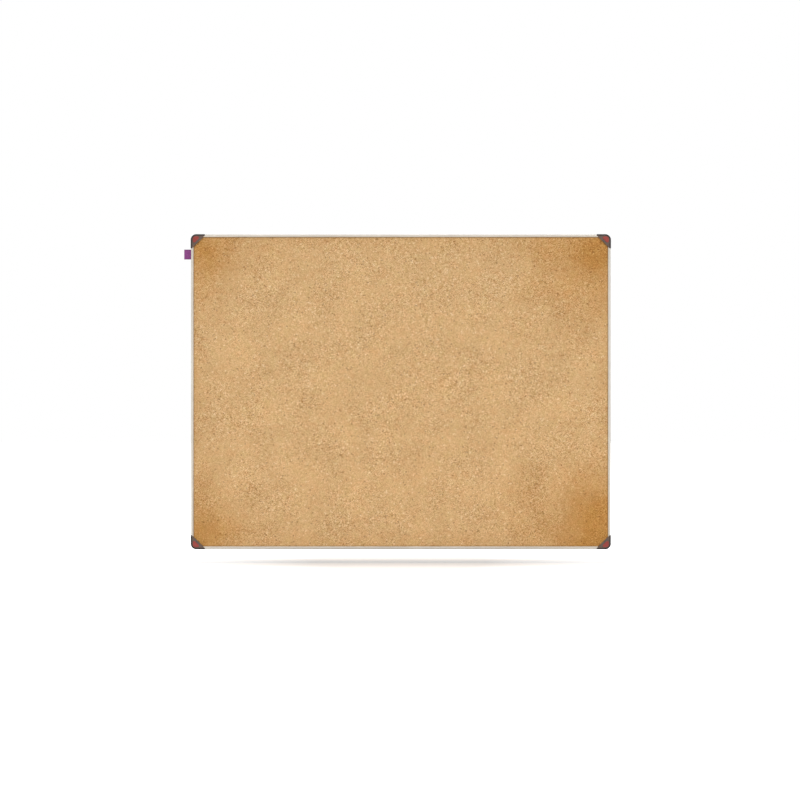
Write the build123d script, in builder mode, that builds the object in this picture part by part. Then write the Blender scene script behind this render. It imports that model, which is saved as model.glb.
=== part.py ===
from build123d import *
import math
import os

# Cork bulletin board for a classroom wall: a laminated cork panel in a frame of four aluminium
# extrusions, joined by four moulded corners. A screw through each corner holds the board to the
# wall, and a snap-in cover hides that screw.
#
# Frame of the part: X to the right and Z up as a reader sees the board, the wall in the plane
# Y = 0, and the cork facing -Y. The origin is on the wall, midway between the four wall screws.
# In the comments, "height" is a distance off the wall, and "inwards" is away from an outer edge.

# ---------------------------------------------------------------- driving dimensions, in mm

# overall size, measured over the moulded corners
board_width = 1200.0
board_height = 900.0

# clearances
panel_gap = 0.1            # panel to each face of its groove
rail_gap = 0.15            # rail to the moulded corner around it
tongue_gap = 0.2           # corner tongue to each side of the rail chamber
cover_gap = 0.25           # screw cover to the edge of its recess
screw_gap = 0.05           # corner screw to the tongue that it cuts into

# laminated panel
cork_thickness = 3.0
core_thickness = 5.0
backing_thickness = 0.4
panel_edge_gap = 0.2       # panel edge to the rounded inner corner of its groove

# frame extrusion
rail_standoff = 2.0        # back of the rail to the wall, room for the corner screw heads
rail_wall = 1.2
rail_nose_radius = 3.0     # outer front edge
rail_lip_width = 7.5       # face that shows beside the cork
rail_lip_depth = 2.4       # how far that face stands in front of the cork
rail_lip_radius = 2.2      # inner front edge, where the face turns down to the cork
chamber_width = 11.8       # closed chamber behind the panel, which takes the corner tongue
chamber_depth = 3.8

# moulded corner
skirt = 1.0                # how far the corner stands outside the rails
face_proud = 1.2           # how far it stands in front of them
corner_leg = 40.5          # length along each outer edge
corner_end = 4.0           # width of the square end of each leg
corner_radius = 16.5       # outer corner, seen from the front
corner_nose_radius = 2.5   # outer front edges
corner_lip_radius = 0.8    # inner front edges
corner_wall = 2.0
panel_lap = 3.2            # how far the face laps over the clipped panel corner
rib_thickness = 1.6
tongue_length = 30.0
tongue_chamfer = 0.8

# screw cover and the pocket under it
cover_margin = 6.5         # outer edge of the corner to the edge of the cover
cover_rim = 2.8            # clipped panel corner to the long edge of the cover
cover_corner_radius = 7.0
cover_tip_radius = 4.0
cover_plate = 2.0          # part of the cover that sits in the recess
cover_proud = 0.4
cover_edge_radius = 0.6
cover_ledge = 1.2
cover_to_rail = 4.2        # tip of the cover to the cut end of the rail
cover_leg_width = 4.0
cover_leg_thickness = 1.2
cover_leg_length = 10.0
cover_leg_gap = 0.3
cover_crush_rib = 0.2      # height of the rib that grips the pocket wall
pocket_wall = 1.6
pocket_floor = 6.0         # height of the floor that the wall screw's head bears on
floor_thickness = 2.0

# wall screw holes
wall_hole_radius = 2.25
wall_boss_radius = 6.5

# screws that hold the rails on the corner tongues
screw_from_rail_end = 15.5
screw_from_chamber_side = 2.8
screw_head_radius = 2.0
screw_head_height = 1.6
screw_head_round = 0.9
screw_shank_radius = 1.1
screw_length = 4.4
screw_tip = 1.2
screw_slot_length = 2.4
screw_slot_width = 0.6
screw_slot_depth = 0.9
rail_hole_radius = 1.25

# folded ribbon label, glued behind the left stile
label_height = 28.2
label_below_corner = 2.4   # gap between the label and the leg of the corner above it
label_reach = 20.2         # how far it shows beyond the outer edge
label_to_screw = 0.7       # its tucked-in edge to the heads of the corner screws
label_thickness = 1.2
label_fold_radius = 0.55

# ---------------------------------------------------------------- worked out from them

root_two = math.sqrt(2)
clear_of_all = 60.0        # long enough to cut right through a corner

panel_thickness = cork_thickness + core_thickness + backing_thickness
groove_back = rail_standoff + chamber_depth + 2 * rail_wall
groove_front = groove_back + panel_thickness + 2 * panel_gap
rail_front = groove_front + rail_lip_depth
rail_depth = rail_front - rail_standoff
corner_front = rail_front + face_proud
box_depth = chamber_depth + 2 * rail_wall
box_width = chamber_width + 2 * rail_wall

panel_edge = skirt + rail_nose_radius + panel_edge_gap
corner_line = corner_leg + corner_end
panel_line = corner_line - panel_lap * root_two
cover_line = panel_line - cover_rim * root_two
panel_clip = panel_line - 2 * panel_edge
wall_screw_inset = cover_margin + cover_corner_radius

cover_room = cover_line - 2 * cover_margin - cover_corner_radius
cover_tip = min(cover_tip_radius, 0.95 * cover_room * math.tan(math.pi / 8))
rail_start = cover_line - cover_margin - cover_tip * root_two + cover_to_rail
rail_length_x = board_width - 2 * rail_start
rail_length_z = board_height - 2 * rail_start
recess_floor = corner_front - cover_plate
screw_inwards = rail_wall + chamber_width - screw_from_chamber_side
label_tuck = screw_inwards - screw_head_radius - label_to_screw

off_wall = Vector(0, -1, 0)
os.makedirs("parts", exist_ok=True)


def write(piece, name):
    """Name a finished piece and write its STEP file."""
    piece.label = name
    export_step(piece, f"parts/{name}.step")


# ---------------------------------------------------------------- frame rails


def rail_section():
    """Section of the extrusion: x runs inwards from its outer face, y is the height."""
    with BuildSketch() as section:
        with Locations((0, rail_standoff)):
            Rectangle(box_width, box_depth, align=Align.MIN)
            Rectangle(rail_wall, rail_depth, align=Align.MIN)
        with Locations((0, rail_front)):
            Rectangle(rail_lip_width, rail_lip_depth, align=(Align.MIN, Align.MAX))
        with Locations((rail_wall, rail_standoff + rail_wall)):
            Rectangle(chamber_width, chamber_depth, align=Align.MIN, mode=Mode.SUBTRACT)
        with Locations((rail_wall, rail_front - rail_wall)):
            lip_hollow = (rail_lip_width - 2 * rail_wall, rail_lip_depth - rail_wall)
            Rectangle(*lip_hollow, align=(Align.MIN, Align.MAX), mode=Mode.SUBTRACT)
        corners = section.vertices()
        fillet(corners.sort_by_distance((0, rail_front))[0], rail_nose_radius)
        corners = section.vertices()
        inside_nose = (rail_wall, rail_front - rail_wall)
        fillet(corners.sort_by_distance(inside_nose)[0], rail_nose_radius - rail_wall)
        corners = section.vertices()
        fillet(corners.sort_by_distance((rail_lip_width, rail_front))[0], rail_lip_radius)
    return section.sketch


def rail_envelope():
    """Outline of the rail section with its groove filled, grown by the rail clearance."""
    with BuildSketch() as envelope:
        with Locations((-rail_gap, rail_standoff - rail_gap)):
            Rectangle(box_width + 2 * rail_gap, box_depth + 2 * rail_gap, align=Align.MIN)
            Rectangle(rail_lip_width + 2 * rail_gap, rail_depth + 2 * rail_gap, align=Align.MIN)
        nose = envelope.vertices().sort_by_distance((-rail_gap, rail_front + rail_gap))[0]
        fillet(nose, rail_nose_radius + rail_gap)
        lip = envelope.vertices().sort_by_distance((rail_lip_width, rail_front))[0]
        fillet(lip, rail_lip_radius + rail_gap)
    return envelope.sketch


def rail_plane(middle, inwards):
    """Plane of a rail's section: origin on its outer face, x inwards and y off the wall."""
    return Plane(origin=middle, x_dir=inwards, z_dir=Vector(inwards).cross(off_wall))


# each rail: name, middle of its outer face, direction inwards, length
rails = [
    ("rail_top", (0, 0, board_height / 2 - skirt), (0, 0, -1), rail_length_x),
    ("rail_bottom", (0, 0, skirt - board_height / 2), (0, 0, 1), rail_length_x),
    ("stile_left", (skirt - board_width / 2, 0, 0), (1, 0, 0), rail_length_z),
    ("stile_right", (board_width / 2 - skirt, 0, 0), (-1, 0, 0), rail_length_z),
]

for name, middle, inwards, length in rails:
    screw_along = length / 2 - screw_from_rail_end
    back_plane = Plane(origin=Vector(middle) + off_wall * rail_standoff, x_dir=inwards, z_dir=off_wall)
    with BuildPart() as rail:
        with BuildSketch(rail_plane(middle, inwards)):
            add(rail_section())
        extrude(amount=length / 2, both=True)
        with BuildSketch(back_plane):
            with Locations((screw_inwards, screw_along), (screw_inwards, -screw_along)):
                Circle(rail_hole_radius)
        extrude(amount=rail_wall, mode=Mode.SUBTRACT)
    write(rail.part, name)

# ---------------------------------------------------------------- laminated panel

# each layer: name, height of its back face, thickness
layers = [
    ("backing_sheet", groove_back + panel_gap, backing_thickness),
    ("core_board", groove_back + panel_gap + backing_thickness, core_thickness),
    ("cork_sheet", groove_front - panel_gap - cork_thickness, cork_thickness),
]

for name, height, thickness in layers:
    with BuildPart() as layer:
        with BuildSketch(Plane(origin=off_wall * height, x_dir=(1, 0, 0), z_dir=off_wall)) as sheet:
            Rectangle(board_width - 2 * panel_edge, board_height - 2 * panel_edge)
            chamfer(sheet.vertices(), panel_clip)
        extrude(amount=thickness)
    write(layer.part, name)

# ---------------------------------------------------------------- moulded corner
# The bottom left corner is made in its place. The other three are its mirror images.


def corner_plane(height):
    """Plane at a height off the wall: origin at the bottom left outer corner, x and y inwards."""
    origin = Vector(-board_width / 2, 0, -board_height / 2) + off_wall * height
    return Plane(origin=origin, x_dir=(1, 0, 0), z_dir=off_wall)


def cover_shape(grow=0.0):
    """Rounded triangle of the screw cover, grown evenly: x and y run inwards from the corner."""
    near = cover_margin - grow
    far = cover_line + grow * root_two - near
    with BuildSketch() as shape:
        with BuildLine():
            Polyline((near, near), (far, near), (near, far), close=True)
        make_face()
        fillet(shape.vertices().sort_by_distance((0, 0))[0], cover_corner_radius + grow)
        fillet(shape.vertices().sort_by_distance((0, 0))[-2:], cover_tip + grow)
    return shape.sketch


with BuildPart() as corner:
    # solid outline, with its front edges rounded
    with BuildSketch(corner_plane(0)) as outline:
        with BuildLine():
            Polyline(
                (0, 0), (corner_leg, 0), (corner_leg, corner_end),
                (corner_end, corner_leg), (0, corner_leg), close=True,
            )
        make_face()
        fillet(outline.vertices().sort_by_distance((0, 0))[0], corner_radius)
    extrude(amount=corner_front)
    front_edges = corner.faces().sort_by(Axis.Y)[0].edges()
    outer_corner = corner_plane(corner_front).origin
    fillet(front_edges.sort_by_distance(outer_corner)[:3], corner_nose_radius)
    front_edges = corner.faces().sort_by(Axis.Y)[0].edges()
    fillet(front_edges.sort_by_distance(outer_corner)[3:], corner_lip_radius)

    # sockets for the ends of the two rails
    socket_start = rail_start - rail_gap
    lower_rail = rail_plane((socket_start - board_width / 2, 0, skirt - board_height / 2), (0, 0, 1))
    left_rail = rail_plane((skirt - board_width / 2, 0, socket_start - board_height / 2), (1, 0, 0))
    with BuildSketch(lower_rail):
        add(rail_envelope())
    extrude(amount=clear_of_all, mode=Mode.SUBTRACT)
    with BuildSketch(left_rail):
        add(rail_envelope())
    extrude(amount=-clear_of_all, mode=Mode.SUBTRACT)

    # groove for the clipped corner of the panel
    groove_edge = panel_edge - panel_edge_gap
    groove_line = panel_line - panel_gap * root_two
    with BuildSketch(corner_plane(groove_back)):
        with BuildLine():
            Polyline(
                (groove_edge, groove_line - groove_edge), (groove_line - groove_edge, groove_edge),
                (clear_of_all, groove_edge), (clear_of_all, clear_of_all),
                (groove_edge, clear_of_all), close=True,
            )
        make_face()
    extrude(amount=groove_front - groove_back, mode=Mode.SUBTRACT)

    # hollow around the screw pocket, open at the back, with a rib across the outer corner
    hollow_end = rail_start - corner_wall - rail_gap
    with BuildSketch(corner_plane(0)) as hollow:
        with BuildLine():
            Polyline(
                (corner_wall, corner_wall), (hollow_end, corner_wall),
                (hollow_end, cover_line - hollow_end), (cover_line - hollow_end, hollow_end),
                (corner_wall, hollow_end), close=True,
            )
        make_face()
        fillet(hollow.vertices().sort_by_distance((0, 0))[0], corner_radius - corner_wall)
        add(cover_shape(pocket_wall - cover_ledge), mode=Mode.SUBTRACT)
        Rectangle(clear_of_all, rib_thickness, rotation=45, mode=Mode.SUBTRACT)
    extrude(amount=groove_front, mode=Mode.SUBTRACT)

    # recess for the cover, the pocket for the screw head, and the hollow under the pocket floor
    with BuildSketch(corner_plane(recess_floor)):
        add(cover_shape(cover_gap))
    extrude(amount=cover_plate, mode=Mode.SUBTRACT)
    with BuildSketch(corner_plane(pocket_floor)):
        add(cover_shape(-cover_ledge))
    extrude(amount=recess_floor - pocket_floor, mode=Mode.SUBTRACT)
    with BuildSketch(corner_plane(0)):
        add(cover_shape(-cover_ledge))
        with Locations((wall_screw_inset, wall_screw_inset)):
            Circle(wall_boss_radius, mode=Mode.SUBTRACT)
    extrude(amount=pocket_floor - floor_thickness, mode=Mode.SUBTRACT)
    with BuildSketch(corner_plane(0)):
        with Locations((wall_screw_inset, wall_screw_inset)):
            Circle(wall_hole_radius)
    extrude(amount=pocket_floor, mode=Mode.SUBTRACT)

    # tongues that plug into the rail chambers, with pilot holes for the corner screws
    tongue_middle = (rail_wall + chamber_width / 2, rail_standoff + rail_wall + chamber_depth / 2)
    for plane, sign in ((lower_rail, 1), (left_rail, -1)):
        with BuildSketch(plane.offset(-sign * corner_wall)):
            with Locations(tongue_middle):
                Rectangle(chamber_width - 2 * tongue_gap, chamber_depth - 2 * tongue_gap)
        extrude(amount=sign * (tongue_length + corner_wall))
    chamfer(corner.faces().sort_by(Axis.X)[-1].edges(), tongue_chamfer)
    chamfer(corner.faces().sort_by(Axis.Z)[-1].edges(), tongue_chamfer)
    screw_at = (rail_start + screw_from_rail_end, skirt + screw_inwards)
    with BuildSketch(corner_plane(rail_standoff)):
        with Locations(screw_at, screw_at[::-1]):
            Circle(screw_shank_radius + screw_gap)
    extrude(amount=groove_back - rail_standoff, mode=Mode.SUBTRACT)

# ---------------------------------------------------------------- screw cover

with BuildPart() as cover:
    with BuildSketch(corner_plane(recess_floor)):
        add(cover_shape())
    extrude(amount=cover_plate + cover_proud)
    fillet(cover.faces().sort_by(Axis.Y)[0].edges(), cover_edge_radius)
    # two legs that grip the pocket walls on either side of the screw head
    leg_near = cover_margin + cover_ledge + cover_leg_gap + cover_leg_thickness / 2
    leg_along = wall_screw_inset + cover_leg_width / 2 + cover_ledge
    rib_near = leg_near - cover_leg_thickness / 2
    with BuildSketch(corner_plane(recess_floor)):
        with Locations((leg_along, leg_near)):
            Rectangle(cover_leg_width, cover_leg_thickness)
        with Locations((leg_near, leg_along)):
            Rectangle(cover_leg_thickness, cover_leg_width)
        with Locations((leg_along, rib_near), (rib_near, leg_along)):
            Circle(cover_crush_rib)
    extrude(amount=-cover_leg_length)

# ---------------------------------------------------------------- the four corners


def at_corner(piece, left, bottom):
    """The bottom left piece, mirrored to the corner that is asked for."""
    with BuildPart() as placed:
        add(piece)
        if not left:
            mirror(about=Plane.YZ, mode=Mode.REPLACE)
        if not bottom:
            mirror(about=Plane.XY, mode=Mode.REPLACE)
    return placed.part


for left in (True, False):
    for bottom in (True, False):
        place = f"{'bottom' if bottom else 'top'}_{'left' if left else 'right'}"
        write(at_corner(corner.part, left, bottom), f"corner_{place}")
        write(at_corner(cover.part, left, bottom), f"screw_cover_{place}")

# ---------------------------------------------------------------- corner screws
# Pan head screws through the back of the rails, two at each corner.

with BuildPart() as screw:
    with BuildSketch(Plane.XZ):
        with BuildLine():
            Polyline(
                (0, -screw_head_height), (screw_head_radius, -screw_head_height),
                (screw_head_radius, 0), (screw_shank_radius, 0),
                (screw_shank_radius, screw_length - screw_tip), (0, screw_length), close=True,
            )
        make_face()
    revolve(axis=Axis.Z)
    fillet(screw.faces().sort_by(Axis.Z)[0].edges(), screw_head_round)
    with BuildSketch(Plane.XY.offset(-screw_head_height)):
        Rectangle(screw_slot_length, screw_slot_width)
        Rectangle(screw_slot_width, screw_slot_length)
    extrude(amount=screw_slot_depth, mode=Mode.SUBTRACT)

with BuildPart() as corner_screws:
    for name, middle, inwards, length in rails:
        screw_along = length / 2 - screw_from_rail_end
        back_plane = Plane(origin=Vector(middle) + off_wall * rail_standoff, x_dir=inwards, z_dir=off_wall)
        with Locations(back_plane):
            with Locations((screw_inwards, screw_along), (screw_inwards, -screw_along)):
                add(screw.part)
write(corner_screws.part, "corner_screws")

# ---------------------------------------------------------------- ribbon label

with BuildPart() as label_tag:
    label_outer = -board_width / 2 - label_reach
    label_bottom = board_height / 2 - corner_leg - label_below_corner - label_height
    with BuildSketch(Plane.XY.offset(label_bottom)) as ribbon:
        with Locations((label_outer, -rail_standoff)):
            Rectangle(label_reach + skirt + label_tuck, label_thickness, align=Align.MIN)
        fillet(ribbon.vertices().group_by(Axis.X)[0], label_fold_radius)
    extrude(amount=label_height)
write(label_tag.part, "label_tag")

print("rail length", rail_length_x, rail_length_z, "rail starts", rail_start, "from the corner")
print("wall screws", board_width - 2 * wall_screw_inset, "by", board_height - 2 * wall_screw_inset)
print("panel", board_width - 2 * panel_edge, "by", board_height - 2 * panel_edge, "clip", panel_clip)
print("front of the corners", corner_front, "recess floor", recess_floor, "cover line", cover_line)
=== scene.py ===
# %% [markdown]
# # A cork bulletin board
# A cork bulletin board is a flat sandwich of cork, softboard and paper, held in four lengths of
# silver anodised aluminium. Dark moulded corners join the lengths, and each corner carries a red
# snap-in cover over the screw that goes into the wall. A purple ribbon label sticks out on the left.
#
# The rigid parts are already modelled to size, so this lesson loads them as a fixed frame and gives
# them their finishes. Only what is uneven by nature is modelled here: the cork sheet and the folded
# ribbon.

# %% Load the frame
import math

import bmesh
import bpy
from mathutils import Matrix, Vector, noise


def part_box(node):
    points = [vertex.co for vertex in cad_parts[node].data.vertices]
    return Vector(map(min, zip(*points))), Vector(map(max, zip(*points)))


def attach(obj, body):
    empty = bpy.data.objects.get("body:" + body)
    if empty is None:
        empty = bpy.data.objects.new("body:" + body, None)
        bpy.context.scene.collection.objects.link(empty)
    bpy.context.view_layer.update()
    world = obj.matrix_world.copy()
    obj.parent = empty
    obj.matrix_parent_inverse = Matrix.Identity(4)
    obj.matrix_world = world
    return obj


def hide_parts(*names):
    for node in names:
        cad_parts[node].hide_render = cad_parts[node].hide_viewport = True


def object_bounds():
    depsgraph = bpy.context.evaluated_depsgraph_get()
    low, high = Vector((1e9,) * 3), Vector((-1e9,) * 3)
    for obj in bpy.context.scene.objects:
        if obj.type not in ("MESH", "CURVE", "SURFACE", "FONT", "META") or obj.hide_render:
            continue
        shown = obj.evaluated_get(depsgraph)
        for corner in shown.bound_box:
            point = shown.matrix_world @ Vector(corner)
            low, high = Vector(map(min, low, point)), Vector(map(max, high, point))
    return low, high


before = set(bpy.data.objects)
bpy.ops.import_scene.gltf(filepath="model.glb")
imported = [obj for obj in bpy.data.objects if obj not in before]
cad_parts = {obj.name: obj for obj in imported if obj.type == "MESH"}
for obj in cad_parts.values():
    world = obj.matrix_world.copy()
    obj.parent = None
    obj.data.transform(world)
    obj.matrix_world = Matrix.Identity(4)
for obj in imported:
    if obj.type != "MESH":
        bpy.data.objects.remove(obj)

cad_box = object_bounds()
MM = 0.001
print("the board measures", [round((high - low) / MM, 1) for low, high in zip(*cad_box)], "mm")

# %% [markdown]
# ## Helpers for shader nodes
# Every finish here is a tree of nodes. A small helper that adds a node, sets its values and joins
# its inputs keeps each material short enough to read as a recipe.

# %% Node helpers


def feed(tree, socket, value):
    """Fills an input with a value, or joins another socket to it."""
    if isinstance(value, bpy.types.NodeSocket):
        tree.links.new(value, socket)
    else:
        socket.default_value = value


def node(tree, kind, settings=None, **inputs):
    """Adds a node, sets its properties and feeds its inputs, given by name or as i0, i1 and so on."""
    made = tree.nodes.new(kind)
    for name, value in (settings or {}).items():
        setattr(made, name, value)
    for name, value in inputs.items():
        by_number = name[0] == "i" and name[1:].isdigit()
        key = int(name[1:]) if by_number else name.replace("_", " ")
        feed(tree, made.inputs[key], value)
    return made


def ramp(tree, factor, stops):
    """A colour ramp with the given (position, colour) stops."""
    made = tree.nodes.new("ShaderNodeValToRGB")
    elements = made.color_ramp.elements
    while len(elements) < len(stops):
        elements.new(0.5)
    for element, (position, colour) in zip(elements, stops):
        element.position = position
        element.color = (*colour, 1.0)
    tree.links.new(factor, made.inputs["Fac"])
    return made.outputs["Color"]


def mix(tree, factor, a, b, blend="MIX"):
    """Mixes two colours, given as values or sockets."""
    made = node(tree, "ShaderNodeMix", {"data_type": "RGBA", "blend_type": blend}, i0=factor)
    for index, colour in ((6, a), (7, b)):
        feed(tree, made.inputs[index], (*colour, 1.0) if isinstance(colour, tuple) else colour)
    return made.outputs[2]


def math_node(tree, operation, a, b=0.0, clamp=False):
    """One sum on two values or sockets."""
    made = node(tree, "ShaderNodeMath", {"operation": operation, "use_clamp": clamp}, i0=a, i1=b)
    return made.outputs[0]


def remap(tree, value, low, high, to_low=0.0, to_high=1.0):
    """Stretches a value from one range to another, held at both ends."""
    made = node(tree, "ShaderNodeMapRange", {"clamp": True}, Value=value)
    for name, number in (("From Min", low), ("From Max", high), ("To Min", to_low), ("To Max", to_high)):
        made.inputs[name].default_value = number
    return made.outputs["Result"]


def srgb(red, green, blue):
    """A colour picked on a screen, from 0 to 255, as the linear values that shaders use."""
    def linear(level):
        level /= 255
        return level / 12.92 if level <= 0.04045 else ((level + 0.055) / 1.055) ** 2.4
    return (linear(red), linear(green), linear(blue))


print("a mid grey of 128 on screen is", round(srgb(128, 128, 128)[0], 3), "to a shader")

# %% [markdown]
# ## Effects that are used more than once
# Three effects come back again and again: cork granules in several sizes, the fine grain and faint
# film of a surface, and long lines, as in drawn metal or in fibres. Each is a node group with named
# inputs and outputs, built once and placed with its own values. A group gives out only numbers, such
# as masks and heights: the Principled BSDF stays in the material, where its values can be read.

# %% Start a node group


def new_group(name, inputs, outputs):
    """An empty shader group with sockets of the given (name, kind, default)."""
    group = bpy.data.node_groups.new(name, "ShaderNodeTree")
    for label, kind, default in inputs:
        socket = group.interface.new_socket(label, in_out="INPUT", socket_type=f"NodeSocket{kind}")
        socket.default_value = default
    for label, kind in outputs:
        group.interface.new_socket(label, in_out="OUTPUT", socket_type=f"NodeSocket{kind}")
    return group, group.nodes.new("NodeGroupInput").outputs, group.nodes.new("NodeGroupOutput").inputs


def place(tree, group, **inputs):
    """Puts a group in a material's tree and returns its outputs."""
    made = tree.nodes.new("ShaderNodeGroup")
    made.node_tree = group
    for name, value in inputs.items():
        feed(tree, made.inputs[name.replace("_", " ")], value)
    return made.outputs


# %% [markdown]
# Cork granules are ground bark pressed together with a binder. Voronoi cells are the right start,
# because pressed granules meet at flat faces as cells do. The coordinates are pushed about by noise
# first, so that no cell keeps straight sides. Each cell has its own random number, which later
# picks its colour, and the distance to its edge gives the dark joint of binder round it. The widths
# of the joint and of the rounding are shares of a cell.

# %% Group: cork granules
JOINT_WIDTH = 0.12
DOME_WIDTH = 0.35
granules, g_in, g_out = new_group(
    "cork granules",
    [("Vector", "Vector", (0, 0, 0)), ("Cells per metre", "Float", 400.0), ("Warp", "Float", 0.4)],
    [("Tone", "Float"), ("Joint", "Float"), ("Height", "Float")],
)
warp_scale = math_node(granules, "MULTIPLY", g_in["Cells per metre"], 1.3)
warp_noise = node(granules, "ShaderNodeTexNoise", Vector=g_in["Vector"], Scale=warp_scale, Detail=2.0)
centred = node(
    granules, "ShaderNodeVectorMath", {"operation": "SUBTRACT"},
    i0=warp_noise.outputs["Color"], i1=(0.5, 0.5, 0.5),
)
warp_size = math_node(granules, "DIVIDE", g_in["Warp"], g_in["Cells per metre"])
pushed = node(
    granules, "ShaderNodeVectorMath", {"operation": "SCALE"},
    i0=centred.outputs[0], Scale=warp_size,
)
moved = node(
    granules, "ShaderNodeVectorMath", {"operation": "ADD"},
    i0=g_in["Vector"], i1=pushed.outputs[0],
)
cells = node(granules, "ShaderNodeTexVoronoi", Vector=moved.outputs[0], Scale=g_in["Cells per metre"])
edges = node(
    granules, "ShaderNodeTexVoronoi", {"feature": "DISTANCE_TO_EDGE"},
    Vector=moved.outputs[0], Scale=g_in["Cells per metre"],
)
tone = node(granules, "ShaderNodeSeparateColor", Color=cells.outputs["Color"])
joint = remap(granules, edges.outputs["Distance"], 0.0, JOINT_WIDTH, 1.0, 0.0)
dome = remap(granules, edges.outputs["Distance"], 0.0, DOME_WIDTH, 0.0, 1.0)
height = math_node(granules, "MULTIPLY_ADD", tone.outputs["Green"], 0.5)
granules.links.new(dome, height.node.inputs[2])
granules.links.new(tone.outputs["Red"], g_out["Tone"])
granules.links.new(joint, g_out["Joint"])
granules.links.new(height, g_out["Height"])
print("granules group:", len(granules.nodes), "nodes")

# %% [markdown]
# Moulded plastic keeps the fine spark-eroded skin of its tool, and plastics and metals alike pick up
# a faint film of handling. One noise at a fine scale gives the grain, and one at a broad scale gives
# the film.

# %% Group: moulded grain
grain, g_in, g_out = new_group(
    "moulded grain",
    [
        ("Vector", "Vector", (0, 0, 0)),
        ("Grain per metre", "Float", 2500.0),
        ("Patch per metre", "Float", 35.0),
    ],
    [("Height", "Float"), ("Film", "Float")],
)
fine = node(
    grain, "ShaderNodeTexNoise",
    Vector=g_in["Vector"], Scale=g_in["Grain per metre"], Detail=3.0,
)
broad = node(
    grain, "ShaderNodeTexNoise",
    Vector=g_in["Vector"], Scale=g_in["Patch per metre"], Detail=4.0,
)
grain.links.new(fine.outputs["Fac"], g_out["Height"])
grain.links.new(remap(grain, broad.outputs["Fac"], 0.35, 0.7), g_out["Film"])
print("grain group:", len(grain.nodes), "nodes")

# %% [markdown]
# An extrusion is pushed through its die, which leaves long fine lines along it. Noise becomes such
# lines when its coordinates are squeezed along one axis, so the group takes the squeeze as a vector.
# Fibres in paper and softboard are the same idea with a gentler squeeze.

# %% Group: drawn lines
lines, g_in, g_out = new_group(
    "drawn lines",
    [
        ("Vector", "Vector", (0, 0, 0)),
        ("Squeeze", "Vector", (1, 1, 1)),
        ("Lines per metre", "Float", 3000.0),
    ],
    [("Height", "Float"), ("Streak", "Float")],
)
squeezed = node(
    lines, "ShaderNodeVectorMath", {"operation": "MULTIPLY"},
    i0=g_in["Vector"], i1=g_in["Squeeze"],
)
hair = node(
    lines, "ShaderNodeTexNoise",
    Vector=squeezed.outputs[0], Scale=g_in["Lines per metre"], Detail=2.0,
)
wide_scale = math_node(lines, "MULTIPLY", g_in["Lines per metre"], 0.12)
wide = node(lines, "ShaderNodeTexNoise", Vector=squeezed.outputs[0], Scale=wide_scale, Detail=2.0)
lines.links.new(hair.outputs["Fac"], g_out["Height"])
lines.links.new(remap(lines, wide.outputs["Fac"], 0.35, 0.65), g_out["Streak"])

print("groups:", sorted(group.name for group in (granules, grain, lines)))

# %% [markdown]
# ## Materials
# Each material starts the same way: a Principled BSDF, and the piece's own coordinates in metres,
# so that a number in the recipe is a real size on the board. The height of a relief is in metres too.

# %% Start a material


def new_material(name):
    """An empty Principled material: its tree, its shader and its object coordinates."""
    material = bpy.data.materials.new(name)
    material.use_nodes = True
    tree = material.node_tree
    shader = tree.nodes["Principled BSDF"]
    where = tree.nodes.new("ShaderNodeTexCoord").outputs["Object"]
    return material, tree, shader, where


def bump(tree, shader, height, relief):
    """Turns a height into the shader's normal, where a height of 1 is a relief in metres."""
    made = node(tree, "ShaderNodeBump", Height=height, Distance=relief, Strength=1.0)
    tree.links.new(made.outputs["Normal"], shader.inputs["Normal"])


# %% [markdown]
# ### Cork
# The sheet is cut from a block of pressed granules, here about 2 and 4 mm across. Seen close, they
# run from pale straw to brown, with a few dark flakes of outer bark. From across a room they blend
# to a warm tan with a soft mottle. So the colour is built up in layers: small granules, clumps of
# larger ones over them, and the binder in the joints. Where the sanding belt has bitten deeper the
# granules stand out, and elsewhere they are smoothed over, so that pattern is stronger in some
# patches than in others. A few pale flecks and dark flakes lie over it all.

# %% Material: cork
cork, tree, shader, where = new_material("cork")
CORK_TAN = srgb(217, 177, 125)
SMALL_PER_METRE = 540.0
LARGE_PER_METRE = 270.0
CLUMPS_PER_METRE = 110.0
small = place(tree, granules, Vector=where, Cells_per_metre=SMALL_PER_METRE, Warp=0.6)
large = place(tree, granules, Vector=where, Cells_per_metre=LARGE_PER_METRE, Warp=0.8)
clump = place(tree, granules, Vector=where, Cells_per_metre=CLUMPS_PER_METRE, Warp=0.9)
granule_tones = [
    (0.00, srgb(160, 114, 64)), (0.16, srgb(188, 144, 90)), (0.48, srgb(213, 172, 119)),
    (0.80, srgb(235, 199, 150)), (1.00, srgb(248, 219, 176)),
]
small_colour = ramp(tree, small["Tone"], granule_tones)
large_colour = ramp(tree, large["Tone"], granule_tones)
large_share = remap(tree, clump["Tone"], 0.35, 0.8, 0.05, 0.42)
colour = mix(tree, large_share, small_colour, large_colour)
colour = mix(tree, math_node(tree, "MULTIPLY", small["Joint"], 0.3), colour, srgb(168, 124, 78))
patches = node(tree, "ShaderNodeTexNoise", Vector=where, Scale=9.0, Detail=4.0)
strength = remap(tree, patches.outputs["Fac"], 0.36, 0.62, 0.5, 1.0)
colour = mix(tree, strength, CORK_TAN, colour)
fleck = remap(tree, large["Tone"], 0.975, 0.985)
colour = mix(tree, math_node(tree, "MULTIPLY", fleck, 0.4), colour, srgb(250, 226, 186))
flake = remap(tree, large["Tone"], 0.022, 0.014)
colour = mix(tree, math_node(tree, "MULTIPLY", flake, 0.42), colour, srgb(126, 84, 48))
granule_sizes = [round(1 / per_metre / MM, 1) for per_metre in (SMALL_PER_METRE, LARGE_PER_METRE)]
print("granules are about", granule_sizes, "mm across")

# %% [markdown]
# Over that comes a broad mottle in two sizes: hand-sized clouds that are a little lighter or darker,
# and smaller ones that lean to pink or to olive, as cork of different trees does.

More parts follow.
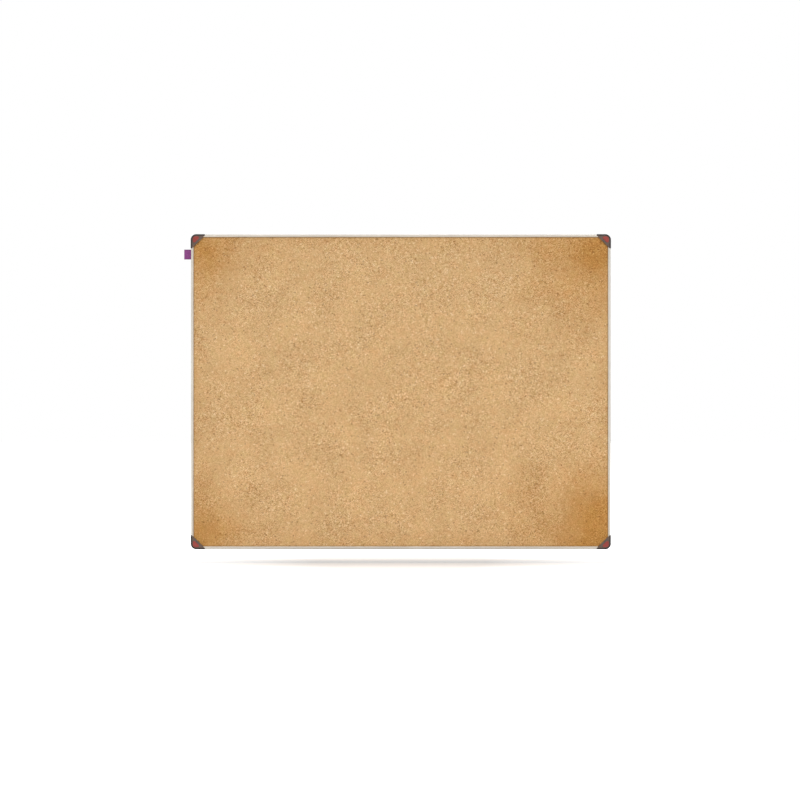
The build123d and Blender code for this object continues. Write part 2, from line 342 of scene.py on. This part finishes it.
# %% Cork: mottle
clouds = node(tree, "ShaderNodeTexNoise", Vector=where, Scale=12.0, Detail=4.0, Roughness=0.6)
light_and_dark = [(0.30, (0.93, 0.925, 0.91)), (0.50, (1, 1, 1)), (0.70, (1.06, 1.06, 1.05))]
colour = mix(tree, 1.0, colour, ramp(tree, clouds.outputs["Fac"], light_and_dark), "MULTIPLY")
hues = node(tree, "ShaderNodeTexNoise", Vector=where, Scale=48.0, Detail=2.0)
pink_and_olive = [(0.30, (1.03, 0.985, 0.97)), (0.50, (1, 1, 1)), (0.70, (0.975, 1.005, 0.97))]
colour = mix(tree, 1.0, colour, ramp(tree, hues.outputs["Fac"], pink_and_olive), "MULTIPLY")
cork_colour = colour
print("cork so far:", len(tree.nodes), "nodes")

# %% [markdown]
# Shade is painted darker and warmer towards the sheet's four corners. Taking the absolute value of
# X and Z folds all four corners onto one, so one distance from the nearest corner serves them all.

# %% Cork: distances from its edges and corners
half_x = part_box("cork_sheet")[1].x
half_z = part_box("cork_sheet")[1].z
FRAME_FACE = 7.5 * MM
covered = half_x - (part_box("stile_right")[1].x - FRAME_FACE)
axes = node(tree, "ShaderNodeSeparateXYZ", Vector=where)
from_side = math_node(tree, "SUBTRACT", half_x, math_node(tree, "ABSOLUTE", axes.outputs["X"]))
from_end = math_node(tree, "SUBTRACT", half_z, math_node(tree, "ABSOLUTE", axes.outputs["Z"]))
nearest = math_node(tree, "MINIMUM", from_side, from_end)
to_corner = node(tree, "ShaderNodeCombineXYZ", X=from_side, Y=from_end)
distance = node(tree, "ShaderNodeVectorMath", {"operation": "LENGTH"}, i0=to_corner.outputs[0])
print("the frame covers", round(covered / MM, 1), "mm of the edge of the cork")

# %% [markdown]
# The painted shade falls off from the nearest corner. It reaches further and goes deeper on the right
# than on the left, and noise breaks up its edge. A faint narrow band of it runs along the frame.

# %% Cork: painted shade in its corners and along its edges
PAINTED_SHADE_REACH = (0.29, 0.40)
PAINTED_SHADE_DEPTH = (0.95, 1.22)
PAINTED_SHADE_TINT = (0.76, 0.58, 0.31)
wander = node(tree, "ShaderNodeTexNoise", Vector=where, Scale=8.0, Detail=3.0)
wander = remap(tree, wander.outputs["Fac"], 0.3, 0.7, -0.06, 0.06)
on_right = remap(tree, axes.outputs["X"], -0.4, 0.4)
reach = remap(tree, on_right, 0.0, 1.0, *PAINTED_SHADE_REACH)
depth = remap(tree, on_right, 0.0, 1.0, *PAINTED_SHADE_DEPTH)
wandering = math_node(tree, "ADD", distance.outputs["Value"], wander)
nearness = math_node(tree, "DIVIDE", wandering, reach)
nearness = remap(tree, nearness, 0.0, 1.0, 1.0, 0.0)
corner_painted_shade = math_node(tree, "MULTIPLY", math_node(tree, "POWER", nearness, 1.3), depth, clamp=True)
edge_painted_shade = remap(tree, nearest, 10 * MM, 55 * MM, 0.22, 0.03)
# Painted shade: the cork is darkened and warmed towards its corners and, faintly, along the frame.
painted_shade = math_node(tree, "MAXIMUM", corner_painted_shade, edge_painted_shade)
painted_shade_colour = mix(tree, 1.0, cork_colour, PAINTED_SHADE_TINT, "MULTIPLY")
colour = mix(tree, painted_shade, cork_colour, painted_shade_colour)
print("amber reaches from", PAINTED_SHADE_REACH[0], "to", PAINTED_SHADE_REACH[1], "m into the sheet")

# %% [markdown]
# Shade is painted in the angle where the frame meets the cork, as a darker band. The cut granules
# are dull, and each is a little rounded and stands at a height of its own.

# %% Cork: painted shade by the frame, gloss and relief
FRAME_SHADE_WIDTH = 4.5 * MM
# Painted shade: a darker band on the cork where the frame meets it.
frame_shade = remap(tree, nearest, covered, covered + FRAME_SHADE_WIDTH, 0.5, 0.0)
colour = mix(tree, frame_shade, colour, srgb(120, 92, 62))
tree.links.new(colour, shader.inputs["Base Color"])
shader.inputs["Roughness"].default_value = 0.82
shader.inputs["Specular IOR Level"].default_value = 0.25
relief = math_node(tree, "ADD", small["Height"], math_node(tree, "MULTIPLY", large["Height"], 0.8))
bump(tree, shader, relief, 0.12 * MM)
print("cork material:", len(tree.nodes), "nodes")

# %% [markdown]
# ### Anodised aluminium
# Silver anodising is a metal seen through a thin frosted skin: metallic, fairly rough, a little
# warm. The drawn lines run along the rails in X and along the stiles in Z, so one function makes
# the two materials with different squeezes.

# %% Material: anodised aluminium


def anodised(name, squeeze):
    """Satin silver extrusion with its die lines along one axis."""
    material, tree, shader, where = new_material(name)
    drawn = place(tree, lines, Vector=where, Squeeze=squeeze, Lines_per_metre=2600.0)
    film = place(tree, grain, Vector=where, Patch_per_metre=18.0)
    colour = mix(tree, drawn["Streak"], srgb(178, 171, 160), srgb(191, 185, 175))
    colour = mix(tree, math_node(tree, "MULTIPLY", film["Film"], 0.3), colour, srgb(164, 155, 143))
    tree.links.new(colour, shader.inputs["Base Color"])
    rough = remap(tree, drawn["Height"], 0.3, 0.7, 0.44, 0.56)
    tree.links.new(rough, shader.inputs["Roughness"])
    shader.inputs["Metallic"].default_value = 0.85
    bump(tree, shader, drawn["Height"], 0.01 * MM)
    return material


DRAWN_OUT = 0.012
rail_metal = anodised("anodised rail", (DRAWN_OUT, 1, 1))
stile_metal = anodised("anodised stile", (1, 1, DRAWN_OUT))
print("the lines are", round(1 / DRAWN_OUT), "times longer than wide")

# %% [markdown]
# ### Plastics
# The corners are ABS in a warm charcoal, with a matt spark-eroded texture on their face. A rim round
# the outside is smoother, and painted near black as painted shade where the rounded edge turns from the
# light.
# The covers are the same plastic in brick red, moulded in a smoother tool.
#
# The rim has to follow the outer edge, also round the radius of the corner. Folding X and Z with an
# absolute value turns the four corners into one. The distance from a rounded corner is its radius
# less the length of what is left of the radius on each axis.

# %% Material: moulded plastics
CORNER_RADIUS = 16.5 * MM
SHADED_RIM_WIDTH = 4.6 * MM
SHADED_RIM_BLUR = 0.6 * MM
outer_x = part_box("corner_top_right")[1].x
outer_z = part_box("corner_top_right")[1].z


def from_outer_edge(tree, where, radius):
    """Distance in metres from the rounded outline of the board, up to the given radius."""
    axes = node(tree, "ShaderNodeSeparateXYZ", Vector=where)
    left_over = []
    for axis, outer in (("X", outer_x), ("Z", outer_z)):
        inside = math_node(tree, "ADD", math_node(tree, "ABSOLUTE", axes.outputs[axis]), radius - outer)
        left_over.append(math_node(tree, "MAXIMUM", inside, 0.0))
    pair = node(tree, "ShaderNodeCombineXYZ", X=left_over[0], Y=left_over[1])
    length = node(tree, "ShaderNodeVectorMath", {"operation": "LENGTH"}, i0=pair.outputs[0])
    return math_node(tree, "SUBTRACT", radius, length.outputs["Value"])


def moulded(name, colour_a, colour_b, rough_low, rough_high, relief, rim=None):
    """Moulded ABS: a fine grain, a faint film in the gloss, and, if a rim colour is given, a rim of
    painted shade.
    """
    material, tree, shader, where = new_material(name)
    skin = place(tree, grain, Vector=where, Grain_per_metre=2600.0, Patch_per_metre=60.0)
    colour = mix(tree, skin["Film"], colour_a, colour_b)
    roughness = remap(tree, skin["Film"], 0.0, 1.0, rough_low, rough_high)
    if rim:
        # Painted shade: a band round the rounded outer edge takes the rim colour.
        edge = from_outer_edge(tree, where, CORNER_RADIUS)
        on_shaded_rim = remap(tree, edge, SHADED_RIM_WIDTH - SHADED_RIM_BLUR, SHADED_RIM_WIDTH + SHADED_RIM_BLUR, 1.0, 0.0)
        colour = mix(tree, on_shaded_rim, colour, rim)
        roughness = math_node(tree, "SUBTRACT", roughness, math_node(tree, "MULTIPLY", on_shaded_rim, 0.12))
    tree.links.new(colour, shader.inputs["Base Color"])
    tree.links.new(roughness, shader.inputs["Roughness"])
    shader.inputs["Specular IOR Level"].default_value = 0.35
    bump(tree, shader, skin["Height"], relief)
    return material


# The corners' rim colour is painted shade along their rounded outer edge.
charcoal = moulded(
    "charcoal plastic", srgb(92, 76, 67), srgb(108, 90, 80),
    rough_low=0.5, rough_high=0.64, relief=0.03 * MM, rim=srgb(44, 34, 32),
)
brick_red = moulded(
    "brick red plastic", srgb(146, 58, 51), srgb(158, 70, 62),
    rough_low=0.34, rough_high=0.46, relief=0.01 * MM,
)
print("the dark rim is", round(SHADED_RIM_WIDTH / MM, 1), "mm wide")

# %% [markdown]
# ### Back and core
# The back is closed with brown kraft paper, whose fibres lie mostly along the machine's run, here
# along X. The softboard core is pressed wood fibre, rough and dull.

# %% Material: kraft and softboard


def fibrous(name, pale, dark, squeeze, per_metre, roughness, relief):
    """Paper or board: two tones of fibre, a few dark slivers, and a dull surface."""
    material, tree, shader, where = new_material(name)
    fibres = place(tree, lines, Vector=where, Squeeze=squeeze, Lines_per_metre=per_metre)
    cloudy = node(tree, "ShaderNodeTexNoise", Vector=where, Scale=14.0, Detail=4.0)
    colour = mix(tree, fibres["Streak"], pale, dark)
    colour = mix(tree, remap(tree, cloudy.outputs["Fac"], 0.35, 0.75, 0.0, 0.35), colour, dark)
    sliver = remap(tree, fibres["Height"], 0.70, 0.76)
    sliver_colour = tuple(part * 0.45 for part in dark)
    colour = mix(tree, math_node(tree, "MULTIPLY", sliver, 0.6), colour, sliver_colour)
    tree.links.new(colour, shader.inputs["Base Color"])
    shader.inputs["Roughness"].default_value = roughness
    shader.inputs["Specular IOR Level"].default_value = 0.3
    bump(tree, shader, fibres["Height"], relief)
    return material


kraft = fibrous(
    "kraft liner", srgb(186, 149, 106), srgb(176, 138, 95),
    squeeze=(0.2, 1, 1), per_metre=6500.0, roughness=0.72, relief=0.03 * MM,
)
softboard = fibrous(
    "softboard", srgb(172, 142, 106), srgb(140, 110, 78),
    squeeze=(0.4, 1, 0.6), per_metre=1400.0, roughness=0.95, relief=0.2 * MM,
)
print("back and core:", kraft.name, "and", softboard.name)

# %% [markdown]
# The screws that hold the frame together from the back are zinc plated steel: a bright metal with a
# slightly cloudy gloss.

# %% Material: zinc
zinc, tree, shader, where = new_material("zinc plated steel")
skin = place(tree, grain, Vector=where, Grain_per_metre=4000.0, Patch_per_metre=500.0)
zinc_colour = mix(tree, skin["Film"], srgb(196, 197, 192), srgb(170, 172, 170))
tree.links.new(zinc_colour, shader.inputs["Base Color"])
tree.links.new(remap(tree, skin["Film"], 0.0, 1.0, 0.22, 0.38), shader.inputs["Roughness"])
shader.inputs["Metallic"].default_value = 1.0
bump(tree, shader, skin["Height"], 0.005 * MM)
print("zinc material:", len(tree.nodes), "nodes")

# %% [markdown]
# ### Woven ribbon
# A damask label ribbon has a fine warp and weft that show as small raised blocks, staggered from
# row to row, and a firm selvedge along both long sides. The weave follows the cloth round its
# fold, so it reads the ribbon's own UV map, laid out in metres along and across the ribbon.

# %% Material: ribbon
RIBBON_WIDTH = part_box("label_tag")[1].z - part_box("label_tag")[0].z
THREAD = 0.42 * MM
SELVEDGE = 2.2 * MM
SELVEDGE_BLUR = 0.6 * MM
ribbon_cloth, tree, shader, _ = new_material("woven ribbon")
uv = node(tree, "ShaderNodeUVMap", {"uv_map": "cloth"}).outputs["UV"]
threads = node(
    tree, "ShaderNodeTexBrick", {"offset": 0.5, "squash": 1.0},
    Vector=uv, Color1=(1, 1, 1, 1), Color2=(0.78, 0.78, 0.78, 1), Mortar=(0, 0, 0, 1), Scale=1.0,
    Mortar_Size=THREAD * 0.10, Mortar_Smooth=1.0, Brick_Width=THREAD * 1.6, Row_Height=THREAD * 0.8,
)
across = node(tree, "ShaderNodeSeparateXYZ", Vector=uv).outputs["Y"]
off_centre = math_node(tree, "ABSOLUTE", math_node(tree, "SUBTRACT", across, RIBBON_WIDTH / 2))
selvedge_from = RIBBON_WIDTH / 2 - SELVEDGE
selvedge = remap(tree, off_centre, selvedge_from, selvedge_from + SELVEDGE_BLUR)
cloth = mix(tree, threads.outputs["Color"], srgb(92, 34, 88), srgb(152, 72, 145))
uneven = node(tree, "ShaderNodeTexNoise", Vector=uv, Scale=400.0, Detail=2.0)
cloth = mix(tree, remap(tree, uneven.outputs["Fac"], 0.35, 0.7, 0.0, 0.35), cloth, srgb(118, 52, 112))
cloth = mix(tree, math_node(tree, "MULTIPLY", selvedge, 0.8), cloth, srgb(98, 44, 94))
tree.links.new(cloth, shader.inputs["Base Color"])
shader.inputs["Roughness"].default_value = 0.7
shader.inputs["Sheen Weight"].default_value = 0.25
shader.inputs["Sheen Roughness"].default_value = 0.4
bump(tree, shader, threads.outputs["Color"], 0.08 * MM)

print("materials:", sorted(material.name for material in bpy.data.materials))

# %% [markdown]
# ## Finishing the parts that are already modelled
# These parts come as loose triangles, so a Weld modifier joins them first, and then the surface can
# be shaded smooth with an Edge Split that keeps every edge sharper than 30 degrees crisp. The two
# flat boards need neither.

# %% Give the rigid parts their finish


def finish(names, material, smooth=True):
    """Puts a material on the named parts and smooths their rounded edges."""
    for name in names:
        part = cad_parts[name]
        part.data.materials.clear()
        part.data.materials.append(material)
        if smooth:
            weld = part.modifiers.new("join triangles", "WELD")
            weld.merge_threshold = 0.001 * MM
            split = part.modifiers.new("keep edges crisp", "EDGE_SPLIT")
            split.split_angle = math.radians(30)
            part.data.shade_smooth()


CORNERS = ("top_left", "top_right", "bottom_left", "bottom_right")
finish(["rail_top", "rail_bottom"], rail_metal)
finish(["stile_left", "stile_right"], stile_metal)
finish([f"corner_{corner}" for corner in CORNERS], charcoal)
finish([f"screw_cover_{corner}" for corner in CORNERS], brick_red)
finish(["core_board"], softboard, smooth=False)
finish(["backing_sheet"], kraft, smooth=False)
finish(["corner_screws"], zinc)
print("finished parts:", sum(len(part.modifiers) > 0 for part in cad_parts.values()), "smoothed")

# %% [markdown]
# ## Putting a new piece in the scene
# New pieces are made with bmesh and stay at the origin, with their place in their vertices.

# %% Helper: from bmesh to a piece


def piece_from(bm, name, material, body, smooth=True):
    """Turns a bmesh into a piece that rides on a body of the board."""
    mesh = bpy.data.meshes.new(name)
    bm.to_mesh(mesh)
    bm.free()
    mesh.materials.append(material)
    piece = bpy.data.objects.new(name, mesh)
    bpy.context.scene.collection.objects.link(piece)
    if smooth:
        mesh.shade_smooth()
    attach(piece, body)
    return piece


# %% [markdown]
# ### The cork sheet
# A sheet of pressed cork is sanded flat, yet never perfectly: it keeps a faint unevenness of a
# tenth of a millimetre or two, which shows as a soft play of light. A plain box can't show that,
# so the face starts as a fine grid. Its four corners are clipped off to clear the moulded corners,
# at the place where the top edge of the plain sheet in the frame ends.

# %% Cork sheet: a clipped grid
GRID_COLUMNS = 330
GRID_ROWS = 246
cork_low, cork_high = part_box("cork_sheet")
plain_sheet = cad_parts["cork_sheet"].data.vertices
top_end = max(vert.co.x for vert in plain_sheet if vert.co.z > cork_high.z - 0.01 * MM)
bm = bmesh.new()
bmesh.ops.create_grid(bm, x_segments=GRID_COLUMNS, y_segments=GRID_ROWS, size=0.5)
bmesh.ops.transform(bm, matrix=Matrix.Rotation(math.radians(90), 4, "X"), verts=bm.verts)
bmesh.ops.scale(bm, vec=(cork_high.x - cork_low.x, 1, cork_high.z - cork_low.z), verts=bm.verts)
for side in (1, -1):
    for end in (1, -1):
        bmesh.ops.bisect_plane(
            bm, geom=[*bm.verts, *bm.edges, *bm.faces],
            plane_co=(side * top_end, 0, end * cork_high.z), plane_no=(side, 0, end), clear_outer=True,
        )
print("clipped", round((cork_high.x - top_end) / MM, 1), "mm off each corner")

# %% [markdown]
# Noise in two sizes moves the points in and out, more in than out, so that the face stays within
# the thickness of the plain sheet but for a hair. The rim stays flat, because it has to fit the
# frame's groove. It is then drawn back to make the edges, and one large face closes the back.

# %% Cork sheet: its unevenness, edges and back
UNEVEN = 0.16 * MM
SUNK = 0.6
BROAD_SWELLS = 45
FINE_SWELLS = 130
FLAT_RIM = 6 * MM
FADE_IN = 10 * MM
for vert in bm.verts:
    rim = min(cork_high.x - abs(vert.co.x), cork_high.z - abs(vert.co.z))
    fade = min(1.0, max(0.0, (rim - FLAT_RIM) / FADE_IN))
    swell = (noise.noise(vert.co * BROAD_SWELLS) + noise.noise(vert.co * FINE_SWELLS)) / 2
    vert.co.y = cork_low.y + fade * UNEVEN * (swell + SUNK)
rim_edges = [edge for edge in bm.edges if edge.is_boundary]
drawn = bmesh.ops.extrude_edge_only(bm, edges=rim_edges)["geom"]
back_verts = [item for item in drawn if isinstance(item, bmesh.types.BMVert)]
for vert in back_verts:
    vert.co.y = cork_high.y
bmesh.ops.holes_fill(bm, edges=[edge for edge in bm.edges if edge.is_boundary], sides=0)
bmesh.ops.recalc_face_normals(bm, faces=bm.faces)
print("cork sheet:", len(bm.faces), "faces")
cork_face = piece_from(bm, "cork_face", cork, "board", smooth=False)
for polygon in cork_face.data.polygons:
    polygon.use_smooth = polygon.normal.y < -0.9
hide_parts("cork_sheet")

# %% [markdown]
# ### The ribbon label
# The label is one length of ribbon, folded double and glued behind the left stile. Its section is
# modelled as a line of points: along the front layer, round the fold, and back along the rear
# layer. Where the label hangs free of the stile its two layers belly apart a little.

# %% Ribbon: its section
CLOTH_THICKNESS = 0.34 * MM
CLEAR = 0.02 * MM
BELLY = 0.25 * MM
ACROSS_STEPS = 24
LAYER_STEPS = 26
FOLD_STEPS = 10
label_low, label_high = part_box("label_tag")
stile_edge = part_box("stile_left")[0].x
front_y = label_low.y + CLOTH_THICKNESS / 2 + CLEAR
rear_y = label_high.y - CLOTH_THICKNESS / 2 - CLEAR
middle_y = (front_y + rear_y) / 2
fold_radius = (rear_y - front_y) / 2
fold_x = label_low.x + fold_radius + CLOTH_THICKNESS / 2 + CLEAR
layer = []
for step in range(LAYER_STEPS + 1):
    x = fold_x + (label_high.x - fold_x) * step / LAYER_STEPS
    free = min(1.0, (x - fold_x) / (stile_edge - fold_x))
    layer.append((x, fold_radius + BELLY * math.sin(math.pi * free)))
section = [(x, middle_y - apart) for x, apart in reversed(layer)]
for step in range(1, FOLD_STEPS):
    turn = math.pi * step / FOLD_STEPS
    section.append((fold_x - fold_radius * math.sin(turn), middle_y - fold_radius * math.cos(turn)))
section += [(x, middle_y + apart) for x, apart in layer]
print("ribbon section:", len(section), "points round a fold of", round(fold_radius / MM, 2), "mm")

# %% [markdown]
# The line is extruded across the ribbon's width in small steps. Each point carries its distance
# along the cloth, which extruding copies, so the weave can be laid out afterwards without
# stretching round the fold. Solidify gives the cloth its thickness.

# %% Ribbon: extrude it and lay out the weave
width = label_high.z - label_low.z
bm = bmesh.new()
uv_layer = bm.loops.layers.uv.new("cloth")
along = bm.verts.layers.float.new("along")
line = [bm.verts.new((x, y, label_low.z)) for x, y in section]
for before, vert in zip(line, line[1:]):
    vert[along] = before[along] + (vert.co - before.co).length
rows = [bm.edges.new(pair) for pair in zip(line, line[1:])]
for step in range(ACROSS_STEPS):
    made = bmesh.ops.extrude_edge_only(bm, edges=rows)["geom"]
    fresh = {item for item in made if isinstance(item, bmesh.types.BMVert)}
    bmesh.ops.translate(bm, vec=(0, 0, width / ACROSS_STEPS), verts=list(fresh))
    edges_made = [item for item in made if isinstance(item, bmesh.types.BMEdge)]
    rows = [edge for edge in edges_made if fresh.issuperset(edge.verts)]
for face in bm.faces:
    for loop in face.loops:
        loop[uv_layer].uv = (loop.vert[along], loop.vert.co.z - label_low.z)
bmesh.ops.recalc_face_normals(bm, faces=bm.faces)
label = piece_from(bm, "ribbon_label", ribbon_cloth, "board")
thick = label.modifiers.new("cloth thickness", "SOLIDIFY")
thick.thickness = CLOTH_THICKNESS
thick.offset = 0.0
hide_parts("label_tag")

# %% [markdown]
# ## Camera
# The board is seen straight on from a few metres away, through a long lens that keeps its edges
# parallel. It is aimed a little below the middle of the board.

# %% Camera
LENS = 85.0
SENSOR = 36.0
VIEW_WIDTH = 2282.6 * MM
AIM_X = -2.3 * MM
AIM_Z = -23.5 * MM
camera_data = bpy.data.cameras.new("camera")
camera_data.lens = LENS
camera_data.sensor_width = SENSOR
camera = bpy.data.objects.new("camera", camera_data)
bpy.context.scene.collection.objects.link(camera)
distance_off = VIEW_WIDTH * LENS / SENSOR
camera.location = (AIM_X, cad_box[0][1] - distance_off, AIM_Z)
camera.rotation_euler = (math.radians(90), 0, 0)
camera_data.clip_end = 60
bpy.context.scene.camera = camera
print("camera stands", round(distance_off, 2), "m in front")

# %% [markdown]
# ## Floor, light and background
# The board hangs just above a pale floor, in a white room. Its shadow has to fall on the floor, so
# the floor can't simply glow: under the middle of the board most of its white is light from above,
# and the rest is its own. Its own share rises with the distance from there until the floor is plain
# white, so the shadow fades out gently towards the ends of the board.

# %% Floor
FLOOR_SIZE = 30.0
FLOOR_DROP = 37 * MM
GLOW_FROM = 0.25
GLOW_TO = 1.0
LEAST_GLOW = 0.12
bm = bmesh.new()
bmesh.ops.create_grid(bm, x_segments=1, y_segments=1, size=FLOOR_SIZE / 2)
floor_mesh = bpy.data.meshes.new("floor")
bm.to_mesh(floor_mesh)
bm.free()
floor = bpy.data.objects.new("floor", floor_mesh)
bpy.context.scene.collection.objects.link(floor)
floor.location = (0, 0, cad_box[0][2] - FLOOR_DROP)
floor_material, tree, shader, where = new_material("pale floor")
shader.inputs["Base Color"].default_value = (0.8, 0.8, 0.8, 1)
shader.inputs["Roughness"].default_value = 0.9
shader.inputs["Specular IOR Level"].default_value = 0.0
from_middle = node(tree, "ShaderNodeVectorMath", {"operation": "LENGTH"}, i0=where)
own_share = remap(tree, from_middle.outputs["Value"], GLOW_FROM, GLOW_TO, LEAST_GLOW, 1.0)


def seen_directly(tree):
    """1 for rays that show a surface to the eye, straight or in a reflection, and 0 for light."""
    rays = node(tree, "ShaderNodeLightPath")
    seen = math_node(tree, "MAXIMUM", rays.outputs["Is Camera Ray"], rays.outputs["Is Glossy Ray"])
    return math_node(tree, "MAXIMUM", seen, rays.outputs["Is Transmission Ray"])


glow = math_node(tree, "MULTIPLY", seen_directly(tree), own_share)
white = node(tree, "ShaderNodeEmission", Strength=glow)
both = node(tree, "ShaderNodeAddShader", i0=shader.outputs[0], i1=white.outputs[0])
tree.links.new(both.outputs[0], tree.nodes["Material Output"].inputs["Surface"])
floor_mesh.materials.append(floor_material)
print("the floor lies", round(FLOOR_DROP / MM), "mm below the board")

# %% [markdown]
# The room is white to the eye and in reflections, and gives a soft grey fill as light.

# %% World
ROOM_FILL = 0.3
world = bpy.data.worlds.new("studio")
bpy.context.scene.world = world
world.use_nodes = True
tree = world.node_tree
tree.nodes.clear()
strength = remap(tree, seen_directly(tree), 0.0, 1.0, ROOM_FILL, 1.0)
sky = node(tree, "ShaderNodeBackground", Strength=strength)
sky.inputs["Color"].default_value = (1, 1, 1, 1)
tree.links.new(sky.outputs[0], node(tree, "ShaderNodeOutputWorld").inputs["Surface"])
print("the room gives a fill of", ROOM_FILL)

# %% [markdown]
# Flat work is lit from both sides at about 45 degrees, so that satin metal and plastic that face
# the camera don't mirror a lamp. A third softbox, high in front, draws the thin shadow of the frame
# on the cork, and a fourth lights the back. Two more straight overhead, one on each side of the
# board's plane, are for the floor alone and give it the board's shadow. Light linking keeps them
# off the board, and the others off the floor, so that the floor has one shadow. The side lamps end
# above the floor, which would otherwise hide a part of them from the board.

# %% Lights
MIDDLE = (0, 0, 0)
only_floor = bpy.data.collections.new("only the floor")
only_floor.objects.link(floor)
all_but_floor = bpy.data.collections.new("all but the floor")
all_but_floor.objects.link(floor)
all_but_floor.collection_objects[0].light_linking.link_state = "EXCLUDE"


def softbox(name, place_at, aim, size, watts, lights_up):
    """A rectangular area light at a place, turned to face a point, for one group of pieces."""
    lamp = bpy.data.lights.new(name, "AREA")
    lamp.shape = "RECTANGLE"
    lamp.size, lamp.size_y = size
    lamp.energy = watts
    made = bpy.data.objects.new(name, lamp)
    bpy.context.scene.collection.objects.link(made)
    made.location = place_at
    made.rotation_euler = (Vector(aim) - Vector(place_at)).to_track_quat("-Z", "Y").to_euler()
    made.visible_camera = False
    made.light_linking.receiver_collection = lights_up


softbox("overhead front", (0, -0.9, 10.0), (0, -0.9, 0), (1.4, 0.8), watts=480, lights_up=only_floor)
softbox("overhead rear", (0, 1.3, 10.0), (0, 1.3, 0), (1.4, 1.5), watts=480, lights_up=only_floor)
softbox("high front", (0, -6.5, 11.3), MIDDLE, (5.8, 3.5), watts=800, lights_up=all_but_floor)
softbox("left side", (-3.4, -3.4, 0.1), MIDDLE, (1.6, 1.1), watts=31, lights_up=all_but_floor)
softbox("right side", (3.4, -3.4, 0.1), MIDDLE, (1.6, 1.1), watts=31, lights_up=all_but_floor)
softbox("behind", (0, 3.5, 1.6), MIDDLE, (3.0, 1.6), watts=100, lights_up=all_but_floor)

bpy.context.scene.view_settings.view_transform = "Standard"
